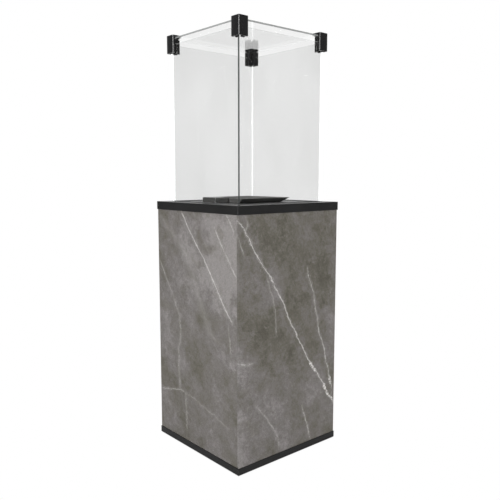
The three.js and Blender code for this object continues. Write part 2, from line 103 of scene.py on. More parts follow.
class Tree:
    """A material's or a group's node tree, built by short calls that return output sockets."""

    def __init__(self, tree):
        self.tree = tree

    def node(self, kind, inputs=None, **settings):
        made = self.tree.nodes.new(kind)
        for key, value in settings.items():
            setattr(made, key, value)
        for key, value in (inputs or {}).items():
            self.feed(made.inputs[key], value)
        return made

    def feed(self, socket, value):
        if isinstance(value, bpy.types.NodeSocket):
            self.tree.links.new(value, socket)
        else:
            socket.default_value = value

    def math(self, operation, a, b=0.0, c=0.0, clamp=False):
        made = self.node("ShaderNodeMath", operation=operation, use_clamp=clamp)
        for socket, value in zip(made.inputs, (a, b, c)):
            self.feed(socket, value)
        return made.outputs[0]

    def ramp(self, value, low, high, to_low=0.0, to_high=1.0, smooth=True):
        kind = "SMOOTHSTEP" if smooth else "LINEAR"
        made = self.node("ShaderNodeMapRange", interpolation_type=kind, clamp=True)
        for index, item in enumerate((value, low, high, to_low, to_high)):
            self.feed(made.inputs[index], item)
        return made.outputs[0]

    def noise(self, vector, scale, detail, roughness, output="Fac"):
        inputs = {"Vector": vector, "Scale": scale, "Detail": detail, "Roughness": roughness}
        return self.node("ShaderNodeTexNoise", inputs).outputs[output]

    def vector(self, operation, a, b):
        return self.node("ShaderNodeVectorMath", {0: a, 1: b}, operation=operation).outputs[0]

    def mix(self, factor, a, b, blend="MIX"):
        made = self.node("ShaderNodeMix", data_type="RGBA", blend_type=blend)
        self.feed(made.inputs[0], factor)
        self.feed(made.inputs[6], a)
        self.feed(made.inputs[7], b)
        return made.outputs[2]

    def mapping(self, vector, scale=(1, 1, 1), location=(0, 0, 0), rotation=(0, 0, 0)):
        inputs = {"Vector": vector, "Scale": scale, "Location": location, "Rotation": rotation}
        return self.node("ShaderNodeMapping", inputs).outputs[0]

    def split(self, vector):
        return self.node("ShaderNodeSeparateXYZ", {0: vector}).outputs

    def combine(self, x, y, z):
        return self.node("ShaderNodeCombineXYZ", {"X": x, "Y": y, "Z": z}).outputs[0]

    def grey(self, level):
        return self.combine(level, level, level)

    def bump(self, height, strength, distance):
        inputs = {"Height": height, "Strength": strength, "Distance": distance}
        return self.node("ShaderNodeBump", inputs).outputs[0]

    def blend(self, share, first, second):
        return self.node("ShaderNodeMixShader", {0: share, 1: first, 2: second}).outputs[0]


def material(name):
    """An empty material, its tree, and the place of each point in the shared frame."""
    made = bpy.data.materials.new(name)
    made.use_nodes = True
    made.node_tree.nodes.clear()
    tree = Tree(made.node_tree)
    place = tree.node("ShaderNodeTexCoord").outputs["Object"]
    return made, tree, place


def surface(tree, shader):
    output = tree.node("ShaderNodeOutputMaterial")
    tree.tree.links.new(shader, output.inputs["Surface"])


def principled(tree, **inputs):
    named = {key.replace("_", " "): value for key, value in inputs.items()}
    return tree.node("ShaderNodeBsdfPrincipled", named).outputs[0]


# ---------------------------------------------------------------- stone

# Base tones, from the darkest clouds to the lightest.
STONE_TONES = (
    (0.385, (0.086, 0.079, 0.061, 1.0)),
    (0.440, (0.128, 0.119, 0.097, 1.0)),
    (0.490, (0.164, 0.152, 0.139, 1.0)),
    (0.540, (0.198, 0.184, 0.179, 1.0)),
    (0.610, (0.282, 0.265, 0.258, 1.0)),
)
RUST = (0.124, 0.113, 0.088, 1.0)
PALE_HAIRLINE = (0.42, 0.40, 0.375, 1.0)
DARK_HAIRLINE = (0.070, 0.062, 0.050, 1.0)
PIT = (0.075, 0.07, 0.06, 1.0)
VEIN_WHITE = (0.78, 0.765, 0.74, 1.0)
VEIN_HAZE = (0.30, 0.286, 0.270, 1.0)
VEIN_FADE = 0.03            # metres over which a vein fades out at its ends
VEIN_OVERRUN = 0.015        # metres that it runs past its first and last point


def group(name, inputs, outputs):
    made = bpy.data.node_groups.new(name, "ShaderNodeTree")
    for label, kind in inputs:
        made.interface.new_socket(label, in_out="INPUT", socket_type=kind)
    for label, kind in outputs:
        made.interface.new_socket(label, in_out="OUTPUT", socket_type=kind)
    tree = Tree(made)
    source = tree.node("NodeGroupInput").outputs
    sink = tree.node("NodeGroupOutput").inputs
    return made, tree, source, sink


def vein_group():
    """How strongly one vein shows at a point of the slab. Centre is where the vein lies at that Along.
    A thinner strand winds round the main one."""
    labels = ("Across", "Along", "Centre", "Width", "Wobble", "Start", "End", "Seed")
    made, t, i, o = group(
        "vein",
        [(label, "NodeSocketFloat") for label in labels],
        [("Line", "NodeSocketFloat"), ("Halo", "NodeSocketFloat")],
    )
    path = t.combine(i["Seed"], 0.0, i["Along"])
    other_path = t.combine(i["Seed"], 3.0, i["Along"])
    plane = t.combine(i["Across"], i["Seed"], i["Along"])
    wander = t.math("SUBTRACT", t.noise(path, 17.0, 6.0, 0.66), 0.5)
    jitter = t.math("SUBTRACT", t.noise(plane, 120.0, 5.0, 0.75), 0.5)
    offset = t.math("MULTIPLY_ADD", wander, i["Wobble"], t.math("MULTIPLY", jitter, 0.014))
    middle = t.math("ADD", i["Centre"], offset)
    distance = t.math("ABSOLUTE", t.math("SUBTRACT", i["Across"], middle))
    swell = t.ramp(t.noise(path, 46.0, 5.0, 0.8), 0.34, 0.66, 0.35, 1.75)
    half = t.math("MULTIPLY", i["Width"], swell)
    line = t.ramp(t.math("DIVIDE", distance, half), 0.2, 1.0, 1.0, 0.0)
    halo = t.ramp(t.math("DIVIDE", distance, i["Width"]), 0.0, 6.0, 1.0, 0.0)
    stray = t.math("MULTIPLY", t.math("SUBTRACT", t.noise(other_path, 15.0, 6.0, 0.7), 0.5), 0.07)
    apart = t.math("ABSOLUTE", t.math("SUBTRACT", distance, t.math("ABSOLUTE", stray)))
    strand = t.ramp(t.math("DIVIDE", apart, t.math("MULTIPLY", half, 0.55)), 0.2, 1.0, 0.42, 0.0)
    begin = t.ramp(i["Along"], i["Start"], t.math("ADD", i["Start"], VEIN_FADE))
    finish = t.ramp(i["Along"], t.math("SUBTRACT", i["End"], VEIN_FADE), i["End"], 1.0, 0.0)
    ends = t.math("MULTIPLY", begin, finish)
    t.feed(o["Line"], t.math("MULTIPLY", t.math("MAXIMUM", line, strand), ends))
    t.feed(o["Halo"], t.math("MULTIPLY", halo, ends))
    return made


def crackle(t, vector, scale, width, region, low, high, strength):
    """Hairline cracks between rounded cells, where the region noise runs from low to high."""
    inputs = {"Vector": vector, "Scale": scale, "Randomness": 1.0}
    cells = t.node("ShaderNodeTexVoronoi", inputs, feature="DISTANCE_TO_EDGE")
    hair = t.ramp(cells.outputs["Distance"], width * 0.3, width, 1.0, 0.0)
    return t.math("MULTIPLY", hair, t.ramp(region, low, high, 0.0, strength))


def stone_body_group():
    """Cloudy colour and fine grain of the slab. Vector is turned to the way the clouds lie, and Flat is not.
    Lift makes the stone lighter where it is above 0."""
    made, t, i, o = group(
        "stone_body",
        [("Vector", "NodeSocketVector"), ("Flat", "NodeSocketVector"), ("Lift", "NodeSocketFloat")],
        [("Color", "NodeSocketColor"), ("Grain", "NodeSocketFloat")],
    )
    flat = i["Flat"]
    warp = t.noise(i["Vector"], 9.0, 7.0, 0.68, output="Color")
    centred = t.vector("SUBTRACT", warp, (0.5, 0.5, 0.5))
    shift = t.node("ShaderNodeVectorMath", {0: centred, "Scale": 0.14}, operation="SCALE").outputs[0]
    warped = t.vector("ADD", i["Vector"], shift)
    stretched = t.mapping(warped, scale=(1.0, 1.0, 0.5))
    clouds = t.noise(stretched, 7.5, 9.0, 0.62)
    patches = t.noise(t.mapping(warped, location=(3.1, 1.7, 5.3)), 24.0, 8.0, 0.70)
    mottle = t.noise(t.mapping(flat, location=(1.3, 9.1, 4.0)), 75.0, 6.0, 0.78)
    streaks = t.noise(t.mapping(i["Vector"], scale=(1.0, 1.0, 0.22)), 150.0, 5.0, 0.7)
    grain = t.noise(flat, 340.0, 4.0, 0.8)
    fine = t.math("MULTIPLY_ADD", mottle, 0.20, t.math("MULTIPLY", streaks, 0.10))
    blend = t.math("MULTIPLY_ADD", clouds, 0.44, t.math("MULTIPLY_ADD", patches, 0.26, fine))
    blend = t.math("ADD", blend, i["Lift"])
    ramp = t.node("ShaderNodeValToRGB", {"Fac": blend})
    stops = ramp.color_ramp.elements
    while len(stops) < len(STONE_TONES):
        stops.new(0.5)
    for stop, (position, tone) in zip(stops, STONE_TONES):
        stop.position = position
        stop.color = tone
    colour = ramp.outputs["Color"]
    brown = t.noise(t.mapping(warped, location=(7.7, 2.2, 6.1)), 15.0, 6.0, 0.65)
    colour = t.mix(t.ramp(brown, 0.48, 0.68, 0.0, 0.50), colour, RUST)
    shade = t.ramp(grain, 0.28, 0.72, 0.62, 1.38, smooth=False)
    colour = t.mix(1.0, colour, t.grey(shade), "MULTIPLY")
    region = t.noise(t.mapping(i["Vector"], location=(6.0, 3.0, 1.0)), 5.0, 3.0, 0.55)
    pale_hair = crackle(t, warped, 17.0, 0.022, region, 0.46, 0.60, 0.34)
    pale_hair = t.math("MULTIPLY", pale_hair, t.ramp(mottle, 0.40, 0.62))
    colour = t.mix(pale_hair, colour, PALE_HAIRLINE)
    other_region = t.noise(t.mapping(i["Vector"], location=(2.0, 8.0, 5.0)), 8.0, 3.0, 0.55)
    elsewhere = t.mapping(warped, location=(5.0, 1.0, 2.0))
    dark_hair = crackle(t, elsewhere, 34.0, 0.030, other_region, 0.50, 0.62, 0.50)
    dark_hair = t.math("MULTIPLY", dark_hair, t.ramp(mottle, 0.62, 0.42))
    colour = t.mix(dark_hair, colour, DARK_HAIRLINE)
    pits = t.ramp(t.noise(flat, 190.0, 2.0, 0.5), 0.29, 0.23, 0.0, 0.55)
    colour = t.mix(pits, colour, PIT)
    t.feed(o["Color"], colour)
    t.feed(o["Grain"], grain)
    return made


VEIN = vein_group()
STONE_BODY = stone_body_group()


def curve_of(tree, value, points):
    """A curve through the listed [from, to] points in metres, straight between them, and its start and end.
    """
    froms = [point[0] for point in points]
    tos = [point[1] for point in points]
    low, high = min(froms), max(froms)
    least, most = min(tos), max(tos)
    span = high - low
    spread = max(most - least, 1e-6)
    share = tree.ramp(value, low, high, smooth=False)
    made = tree.node("ShaderNodeFloatCurve", {"Factor": 1.0, "Value": share})
    line = made.mapping.curves[0]
    ordered = sorted(points)
    while len(line.points) < len(ordered):
        line.points.new(0.5, 0.5)
    for point, (start, end) in zip(line.points, ordered):
        point.location = ((start - low) / span, (end - least) / spread)
        point.handle_type = "VECTOR"
    made.mapping.update()
    return tree.ramp(made.outputs[0], 0.0, 1.0, least, most, smooth=False), low, high


def blot(t, across, up, spot, ragged):
    """1 at the middle of a [across, height, reach] spot, fading to 0 at its ragged rim."""
    away_x = t.math("SUBTRACT", across, spot[0] * MM)
    away_z = t.math("SUBTRACT", up, spot[1] * MM)
    offset = t.combine(away_x, 0.0, away_z)
    away = t.node("ShaderNodeVectorMath", {0: offset}, operation="LENGTH").outputs["Value"]
    frayed = t.math("MULTIPLY", away, ragged)
    return t.ramp(frayed, 0.0, spot[2] * MM, 1.0, 0.0)


def stone(name, across_axis, veins, shift, turn, clouds=()):
    """A slab's material. Its veins run in the slab's own plane, across_axis and Z, and turn lays the clouds
    along them. clouds are large lighter or darker areas, partly the stone's own tone and partly painted light
    and
    shade: [across, height, reach, how much lighter]. A vein's knots are [across, height, reach] spots where
    it breaks up into crumbs."""
    made, t, place = material(name)
    split = t.split(place)
    across, up = split[across_axis], split[2]
    rim = t.ramp(t.noise(t.mapping(place, location=shift), 9.0, 5.0, 0.6), 0.3, 0.7, 1.5, 0.6)
    cloud_and_light_lift = 0.0
    for spot in clouds:
        cloud_and_light_lift = t.math("MULTIPLY_ADD", blot(t, across, up, spot, rim), spot[3], cloud_and_light_lift)
    body = t.node("ShaderNodeGroup", node_tree=STONE_BODY)
    t.feed(body.inputs["Vector"], t.mapping(place, location=shift, rotation=turn))
    t.feed(body.inputs["Flat"], t.mapping(place, location=shift))
    t.feed(body.inputs["Lift"], cloud_and_light_lift)
    colour = body.outputs["Color"]
    grain = body.outputs["Grain"]
    broken = t.noise(t.mapping(place, location=(4.0, 2.0, 8.0)), 75.0, 6.0, 0.78)
    crumbs = t.noise(t.mapping(place, location=(9.0, 5.0, 1.0)), 150.0, 4.0, 0.75)
    relief = 0.0
    for number, vein in enumerate(veins):
        runs_up = vein.get("up", True)
        along, side = (up, across) if runs_up else (across, up)
        points = [(z * MM, s * MM) if runs_up else (s * MM, z * MM) for s, z in vein["path"]]
        centre, low, high = curve_of(t, along, points)
        line = t.node("ShaderNodeGroup", node_tree=VEIN)
        values = {
            "Across": side,
            "Along": along,
            "Centre": centre,
            "Width": vein["width"] * MM,
            "Wobble": vein.get("wobble", 25.0) * MM,
            "Start": low - VEIN_OVERRUN,
            "End": high + VEIN_OVERRUN,
            "Seed": 1.7 * number + shift[0],
        }
        for key, value in values.items():
            t.feed(line.inputs[key], value)
        gap = vein.get("gap", 0.3)
        gaps = t.ramp(broken, gap, gap + 0.22)
        strength = t.math("MULTIPLY", t.math("MULTIPLY", line.outputs["Line"], gaps), vein["strength"])
        haze = t.math("MULTIPLY", line.outputs["Halo"], vein.get("halo", 0.25))
        colour = t.mix(haze, colour, VEIN_HAZE)
        for spot in vein.get("knots", ()):
            beside = t.ramp(line.outputs["Halo"], 0.0, 0.5)
            near = t.math("MULTIPLY", blot(t, across, up, spot, rim), beside)
            knot = t.math("MULTIPLY", t.ramp(near, 0.0, 0.7), t.ramp(crumbs, 0.47, 0.57))
            strength = t.math("MAXIMUM", strength, knot)
        colour = t.mix(strength, colour, VEIN_WHITE)
        relief = t.math("ADD", relief, strength)
    height = t.math("ADD", t.math("MULTIPLY", grain, 0.5), t.math("MULTIPLY", relief, -0.3))
    normal = t.bump(height, 0.15, 0.0006)
    dull = t.ramp(t.noise(place, 30.0, 4.0, 0.6), 0.3, 0.7, 0.44, 0.58)
    shader = principled(
        t, Base_Color=colour, Roughness=dull, Normal=normal, Specular_IOR_Level=0.42, IOR=1.5
    )
    surface(t, shader)
    return made


# Vein paths are [across, height] in millimetres on the slab. A vein's strength is how white it is, its gap is
# how much of it is broken away, and its halo is how milky the stone beside it is.
FRONT_VEINS = [
    {
        "path": [(-205, 752), (-185, 730), (-155, 680), (-120, 625), (-90, 592), (-45, 518), (15, 410),
                 (60, 335), (95, 277), (125, 242), (175, 165), (205, 125)],
        "width": 1.7, "wobble": 42, "strength": 0.86, "gap": 0.20, "halo": 0.20,
        "knots": ((96, 276, 28), (112, 254, 22), (160, 186, 20), (184, 150, 36)),
    },
    {
        "path": [(75, 595), (108, 485), (128, 395), (155, 315), (180, 237), (197, 178)],
        "width": 1.5, "wobble": 36, "strength": 0.64, "gap": 0.34, "halo": 0.30,
        "knots": ((190, 205, 18),),
    },
    {
        "path": [(-98, 585), (-73, 520), (-60, 455), (-58, 400)],
        "width": 1.3, "wobble": 24, "strength": 0.30, "gap": 0.34, "halo": 0.25,
    },
    {
        "path": [(57, 150), (80, 78), (98, 26)],
        "width": 1.5, "wobble": 18, "strength": 0.50, "gap": 0.30, "halo": 0.30,
    },
    {
        "path": [(-140, 200), (-90, 144), (-58, 94), (-42, 40)],
        "width": 1.5, "wobble": 30, "strength": 0.34, "gap": 0.34, "halo": 0.40,
    },
    {
        "path": [(-180, 762), (-172, 742), (-184, 716)],
        "width": 1.5, "wobble": 40, "strength": 0.34, "gap": 0.40, "halo": 0.50,
    },
    {
        "path": [(-206, 708), (-196, 680), (-184, 655)],
        "width": 1.3, "wobble": 18, "strength": 0.35, "gap": 0.34, "halo": 0.30,
    },
    {
        "path": [(-206, 341), (-182, 332), (-156, 333)], "up": False,
        "width": 2.0, "wobble": 18, "strength": 0.42, "gap": 0.34, "halo": 0.50,
    },
]
LEFT_VEINS = [
    {
        "path": [(72, 770), (17, 696), (-44, 632), (-81, 583), (-121, 530), (-151, 488), (-180, 458)],
        "width": 1.8, "wobble": 15, "strength": 0.82, "gap": 0.20, "halo": 0.25,
    },
    {
        "path": [(-100, 725), (-144, 664), (-186, 609), (-202, 588)],
        "width": 1.6, "wobble": 18, "strength": 0.66, "gap": 0.32, "halo": 0.35,
    },
    {
        "path": [(-155, 771), (-172, 748), (-188, 722)],
        "width": 1.6, "wobble": 18, "strength": 0.62, "gap": 0.28, "halo": 0.35,
    },
    {
        "path": [(198, 600), (132, 500), (88, 431), (83, 383), (97, 305), (97, 190)],
        "width": 2.2, "wobble": 36, "strength": 0.26, "gap": 0.34, "halo": 0.35,
    },
    {
        "path": [(60, 178), (56, 60)],
        "width": 1.5, "wobble": 21, "strength": 0.30, "gap": 0.34, "halo": 0.35,
    },
    {
        "path": [(190, 745), (110, 690), (60, 640), (-10, 520), (-60, 410), (-122, 380)],
        "width": 6.0, "wobble": 72, "strength": 0.07, "gap": 0.40, "halo": 0.30,
    },
    {
        "path": [(-165, 440), (-172, 360)],
        "width": 1.3, "wobble": 21, "strength": 0.30, "gap": 0.34, "halo": 0.30,
    },
    {
        "path": [(198, 160), (91, 184), (60, 179)], "up": False,
        "width": 1.5, "wobble": 18, "strength": 0.42, "gap": 0.34, "halo": 0.30,
    },
    {
        "path": [(56, 180), (-94, 151), (-165, 130)], "up": False,
        "width": 1.5, "wobble": 42, "strength": 0.20, "gap": 0.38, "halo": 0.30,
    },
]
RIGHT_VEINS = [
    {
        "path": [(-190, 700), (-120, 560), (-60, 470), (30, 330), (90, 250), (150, 140)],
        "width": 1.3, "wobble": 30, "strength": 0.7, "gap": 0.18, "halo": 0.3,
    },
    {
        "path": [(20, 765), (80, 660), (130, 560), (190, 470)],
        "width": 1.0, "wobble": 27, "strength": 0.4, "gap": 0.28, "halo": 0.25,
    },
    {
        "path": [(-150, 280), (-90, 180), (-40, 60)],
        "width": 1.1, "wobble": 30, "strength": 0.26, "gap": 0.3, "halo": 0.3,
    },
]
DOOR_VEINS = [
    {
        "path": [(170, 690), (110, 590), (40, 480), (-20, 400), (-90, 270), (-150, 170), (-190, 100)],
        "width": 1.3, "wobble": 30, "strength": 0.72, "gap": 0.16, "halo": 0.3,
    },
    {
        "path": [(-60, 690), (-100, 620), (-160, 520)],
        "width": 1.0, "wobble": 27, "strength": 0.38, "gap": 0.28, "halo": 0.25,
    },
    {
        "path": [(160, 300), (90, 180), (60, 60)],
        "width": 1.0, "wobble": 30, "strength": 0.3, "gap": 0.3, "halo": 0.3,
    },
]
STONES = {
    "stone_panel_front": stone(
        "stone_front", 0, FRONT_VEINS, (0.0, 0.0, 0.0), (0, 0.58, 0),
        # Partly painted light and shade: the lighter spot low at the near end is painted light bounced from
        # the floor, and the darker spots along the top are painted shade; the darker middle spot only darkens
        # the stone.
        clouds=(
            (-185, 90, 250, 0.072),
            (150, 690, 440, -0.050),
            (-110, 720, 230, -0.036),
            (-10, 375, 260, -0.074),
        ),
    ),
    "stone_panel_left": stone(
        "stone_left", 1, LEFT_VEINS, (2.3, 0.7, 0.4), (0.68, 0, 0),
        # Partly painted light: the lighter spot at the top near corner is a painted sheen from the key light;
        # the other spots only lighten or darken the stone a little.
        clouds=(
            (-190, 690, 420, 0.105),
            (130, 430, 260, 0.022),
            (-40, 440, 150, -0.030),
            (60, 60, 300, -0.020),
        ),
    ),
    "stone_panel_right": stone("stone_right", 1, RIGHT_VEINS, (5.1, 3.2, 1.9), (-0.6, 0, 0)),
    "stone_panel_door": stone("stone_door", 0, DOOR_VEINS, (8.4, 1.1, 3.3), (0, -0.6, 0)),
}
STONE_BACK = stone("stone_back", 0, (), (3.7, 6.6, 0.9), (0.3, 0.3, 0))


# ---------------------------------------------------------------- metals, plastics and rubber


def coated_steel(name, colour, rough, texture=0.10, size=900.0):
    """Powder coat or enamel: fine orange peel, faint patchiness, and a dusting of lighter specks."""
    made, t, place = material(name)
    peel = t.noise(place, size, 2.0, 0.5)
    patch = t.noise(place, 18.0, 3.0, 0.6)
    dust = t.noise(place, 140.0, 4.0, 0.7)
    lighter = tuple(min(1.0, c * 1.7 + 0.004) for c in colour) + (1.0,)
    base = t.mix(t.ramp(patch, 0.3, 0.75, 0.0, 0.22), colour + (1.0,), lighter)
    base = t.mix(t.ramp(dust, 0.62, 0.8, 0.0, 0.25), base, lighter)
    roughness = t.ramp(patch, 0.25, 0.75, rough - 0.04, rough + 0.06)
    normal = t.bump(peel, texture, 0.0004)
    surface(t, principled(t, Base_Color=base, Roughness=roughness, Normal=normal, Specular_IOR_Level=0.38))
    return made


def bare_metal(name, colour, rough):
    """Satin metal with fine upright lines."""
    made, t, place = material(name)
    lines = t.noise(t.mapping(place, scale=(1600, 1600, 40)), 1.0, 2.0, 0.6)
    patch = t.noise(place, 60.0, 4.0, 0.6)
    darker = tuple(c * 0.72 for c in colour) + (1.0,)
    base = t.mix(t.ramp(patch, 0.35, 0.75, 0.0, 0.5), colour + (1.0,), darker)
    roughness = t.ramp(lines, 0.3, 0.7, rough - 0.06, rough + 0.10)
    normal = t.bump(lines, 0.10, 0.0002)
    surface(t, principled(t, Base_Color=base, Metallic=1.0, Roughness=roughness, Normal=normal))
    return made


def moulded(name, colour, rough, size=700.0, texture=0.2):
    """Plastic, rubber or glazed ceramic: spark-eroded grain or none, and slight colour drift."""
    made, t, place = material(name)
    grain = t.noise(place, size, 3.0, 0.6)
    patch = t.noise(place, 35.0, 3.0, 0.6)
    lighter = tuple(min(1.0, c * 1.35 + 0.006) for c in colour) + (1.0,)
    base = t.mix(t.ramp(patch, 0.35, 0.75, 0.0, 0.5), colour + (1.0,), lighter)
    roughness = t.ramp(grain, 0.3, 0.7, rough - 0.05, rough + 0.07)
    normal = t.bump(grain, texture, 0.0004)
    surface(t, principled(t, Base_Color=base, Roughness=roughness, Normal=normal))
    return made


BLACK = coated_steel("black_powder_coat", (0.010, 0.010, 0.010), 0.40)
DECK = coated_steel("deck_powder_coat", (0.011, 0.011, 0.011), 0.33, texture=0.05)
CLAMP = coated_steel("clamp_enamel", (0.009, 0.009, 0.0095), 0.26, texture=0.02)
BURNER = coated_steel("burner_enamel", (0.112, 0.112, 0.108), 0.36)
BOX = coated_steel("ignition_box_enamel", (0.086, 0.086, 0.083), 0.22)
STEEL = bare_metal("satin_steel", (0.56, 0.56, 0.57), 0.30)
BRASS = bare_metal("turned_brass", (0.62, 0.44, 0.18), 0.28)
ALUMINIUM = moulded("cast_aluminium", (0.52, 0.53, 0.54), 0.45, size=500.0)
PLASTIC = moulded("black_plastic", (0.014, 0.014, 0.015), 0.42)
RUBBER = moulded("black_silicone", (0.010, 0.010, 0.010), 0.62, size=300.0, texture=0.1)
# Grey silicone bedding whose grey is partly painted sheen: it passes for the deck's sheen at the foot of the
# panes.
PAINTED_SHEEN_BEDDING = moulded("grey_silicone_painted_sheen", (0.13, 0.13, 0.13), 0.35, size=300.0, texture=0.1)
CERAMIC = moulded("glazed_ceramic", (0.80, 0.78, 0.73), 0.16, texture=0.03)
MAGNET = moulded("magnet_block", (0.09, 0.065, 0.045), 0.6)


# ---------------------------------------------------------------- glass


def glass_face(name, tint, mirror_share, rough):
    """A polished pane face: it lets light straight through, and mirrors a little, more at a low angle."""
    made, t, place = material(name)
    facing = t.node("ShaderNodeLayerWeight", {"Blend": 0.5}).outputs["Facing"]
    schlick = t.math("ADD", 0.04, t.math("MULTIPLY", 0.96, t.math("POWER", facing, 5.0)))
    outside = t.math("SUBTRACT", 1.0, t.node("ShaderNodeNewGeometry").outputs["Backfacing"])
    mirror = t.math("MULTIPLY", t.math("MULTIPLY", schlick, mirror_share), outside, clamp=True)
    # Painted reflection: a faint blotchy darkening of the see-through tint stands in for soft reflections
    # across the pane.
    reflection_smear = t.noise(t.mapping(place, scale=(1, 1, 0.5)), 5.0, 2.0, 0.45)
    thinner = tuple(c * 0.975 for c in tint) + (1.0,)
    colour = t.mix(t.ramp(reflection_smear, 0.35, 0.7), tint + (1.0,), thinner)
    clear = t.node("ShaderNodeBsdfTransparent", {"Color": colour}).outputs[0]
    gloss = t.node("ShaderNodeBsdfGlossy", {"Color": PURE_WHITE, "Roughness": rough}).outputs[0]
    surface(t, t.blend(mirror, clear, gloss))
    return made


def glass_edge(name, colour, see_through, painted_glow=0.0):
    """A ground and polished pane edge. Its glow is painted light, standing in for light carried from the
    pane's far rim; the stretch that sits in a corner clamp is painted dark, as shade."""
    made, t, place = material(name)
    streak = t.noise(t.mapping(place, scale=(60, 60, 6)), 1.0, 3.0, 0.6)
    darker = tuple(c * 0.85 for c in colour) + (1.0,)
    base = t.mix(t.ramp(streak, 0.3, 0.7), colour + (1.0,), darker)
    # Painted shade: where the edge runs inside a corner clamp it becomes a flat dark diffuse, standing in for
    # the clamp's shade.
    x, y, z = t.split(place)
    near_corner = t.math("MINIMUM", t.math("ABSOLUTE", x), t.math("ABSOLUTE", y))
    beside_clamp = t.ramp(near_corner, CLAMP_REACH, CLAMP_REACH + MM)
    clamp_shade_mask = t.math("MULTIPLY", beside_clamp, t.ramp(z, CLAMP_FOOT - MM, CLAMP_FOOT))
    # Painted light: the emission glow stands in for light that the pane carries to its edge.
    solid = principled(t, Base_Color=base, Roughness=0.12, Emission_Color=base, Emission_Strength=painted_glow)
    clear = t.node("ShaderNodeBsdfTransparent", {"Color": (0.95, 0.97, 0.96, 1.0)}).outputs[0]
    painted_clamp_shade = t.node("ShaderNodeBsdfDiffuse", {"Color": (0.05, 0.052, 0.051, 1.0)}).outputs[0]
    surface(t, t.blend(clamp_shade_mask, t.blend(see_through, solid, clear), painted_clamp_shade))
    return made


PANE = glass_face("clear_glass", (0.955, 0.956, 0.955), 0.6, 0.02)
LID = glass_face("lid_glass", (0.970, 0.971, 0.970), 1.35, 0.09)
# Painted light and shade: these are one glass edge at different brightness. The dark edge is painted shade,
# the pale, top and far lid edges glow with painted light, and the lid edge is a plain mid grey.
DARK_EDGE = glass_edge("glass_edge_dark", (0.09, 0.097, 0.094), 0.15)
PALE_EDGE = glass_edge("glass_edge_pale", (0.95, 0.96, 0.96), 0.25, painted_glow=0.95)
TOP_EDGE = glass_edge("glass_edge_top", (0.90, 0.91, 0.91), 0.62, painted_glow=0.36)
LID_EDGE = glass_edge("glass_edge_lid", (0.34, 0.35, 0.345), 0.10)
LID_FAR_EDGE = glass_edge("glass_edge_lid_far", (0.92, 0.93, 0.93), 0.50, painted_glow=0.55)


# ---------------------------------------------------------------- pieces


def refined(node, mat, width):
    """The node's own shape with clean flats, edges softened by width, and smooth rounds."""
    source = nodes[node]
    mesh = source.data.copy()
    mesh.name = f"{node}_shape"
    work = bmesh.new()
    work.from_mesh(mesh)
    bmesh.ops.remove_doubles(work, verts=work.verts, dist=1e-6)
    bmesh.ops.dissolve_limit(
        work, angle_limit=FLAT_ANGLE, verts=work.verts, edges=work.edges, delimit={"NORMAL"}
    )
    work.normal_update()
    work.to_mesh(mesh)
    work.free()
    for attribute in ("custom_normal", "sharp_face", "sharp_edge"):
        found = mesh.attributes.get(attribute)
        if found is not None:
            mesh.attributes.remove(found)
    mesh.materials.clear()
    mesh.materials.append(mat)
    mesh.polygons.foreach_set("material_index", [0] * len(mesh.polygons))
    mesh.polygons.foreach_set("use_smooth", [True] * len(mesh.polygons))
    mesh.set_sharp_from_angle(angle=SHARP_ANGLE)
    obj = bpy.data.objects.new(f"{node}_finish", mesh)
    bpy.context.scene.collection.objects.link(obj)
    if width > 0.0:
        bevel = obj.modifiers.new("edges", "BEVEL")
        bevel.width = width
        bevel.segments = 2
        bevel.limit_method = "ANGLE"
        bevel.angle_limit = SHARP_ANGLE
        bevel.harden_normals = True
        bevel.miter_outer = "MITER_ARC"
    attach(obj, source["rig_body"])
    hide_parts(node)
    return obj


def paint_by_normal(obj, choose):
    """Gives each face the material that choose() returns for its normal and centre."""
    mesh = obj.data
    for face in mesh.polygons:
        mat = choose(face.normal, face.center)
        if mat.name not in mesh.materials:
            mesh.materials.append(mat)
        face.material_index = mesh.materials.find(mat.name)


def slab(node, face):
    """A stone panel. Its back, which faces the middle of the column, is plain."""
    obj = refined(node, face, STONE_EDGE)

    def choose(normal, centre):
        faces_inward = normal.x * centre.x + normal.y * centre.y < -0.7 * HALF_SIDE
        return STONE_BACK if faces_inward else face

    paint_by_normal(obj, choose)


for slab_node, slab_material in STONES.items():
    slab(slab_node, slab_material)

# Each finish, how far its edges are softened in metres, and the nodes that have it.
FINISHES = [
    (BLACK, 0.0010, ["base_skirt", "floor_plate", "upper_frame", "door_tray", "control_niche"]),
    (BLACK, 0.0006, ["corner_post_" + c for c in CORNERS]),
    (DECK, 0.0005, ["top_deck"]),
    (BURNER, 0.0005, ["burner_tray"]),
    (BOX, 0.0022, ["ignition_box"]),
    (CLAMP, 0.0008, ["corner_clamp_" + c for c in CORNERS]),
    (PAINTED_SHEEN_BEDDING, 0.0002, ["glass_gasket"]),
    (RUBBER, 0.0002, ["clamp_liner_" + c for c in CORNERS]),
    (STEEL, 0.0003, ["catch_strike_lower", "catch_strike_upper", "lock_barrel", "lock_cam", "lock_keeper",
                     "knob_spindle", "door_pivot_lower", "door_pivot_upper", "igniter_button"]),
    (STEEL, 0.0, ["burner_ring", "thermocouple", "burner_pipe"]),
    (BRASS, 0.0003, ["injector", "gas_inlet", "push_sleeve"]),
    (ALUMINIUM, 0.0008, ["gas_valve"]),
    (PLASTIC, 0.0004, ["foot_pad_" + c for c in CORNERS]
     + ["pivot_bush_lower", "pivot_bush_upper", "control_knob", "piezo_igniter"]),
    (CERAMIC, 0.0, ["spark_electrode"]),
    (MAGNET, 0.0006, ["magnet_catch_lower", "magnet_catch_upper"]),
]
for finish_material, edge, names in FINISHES:
    for item in names:
        refined(item, finish_material, edge)


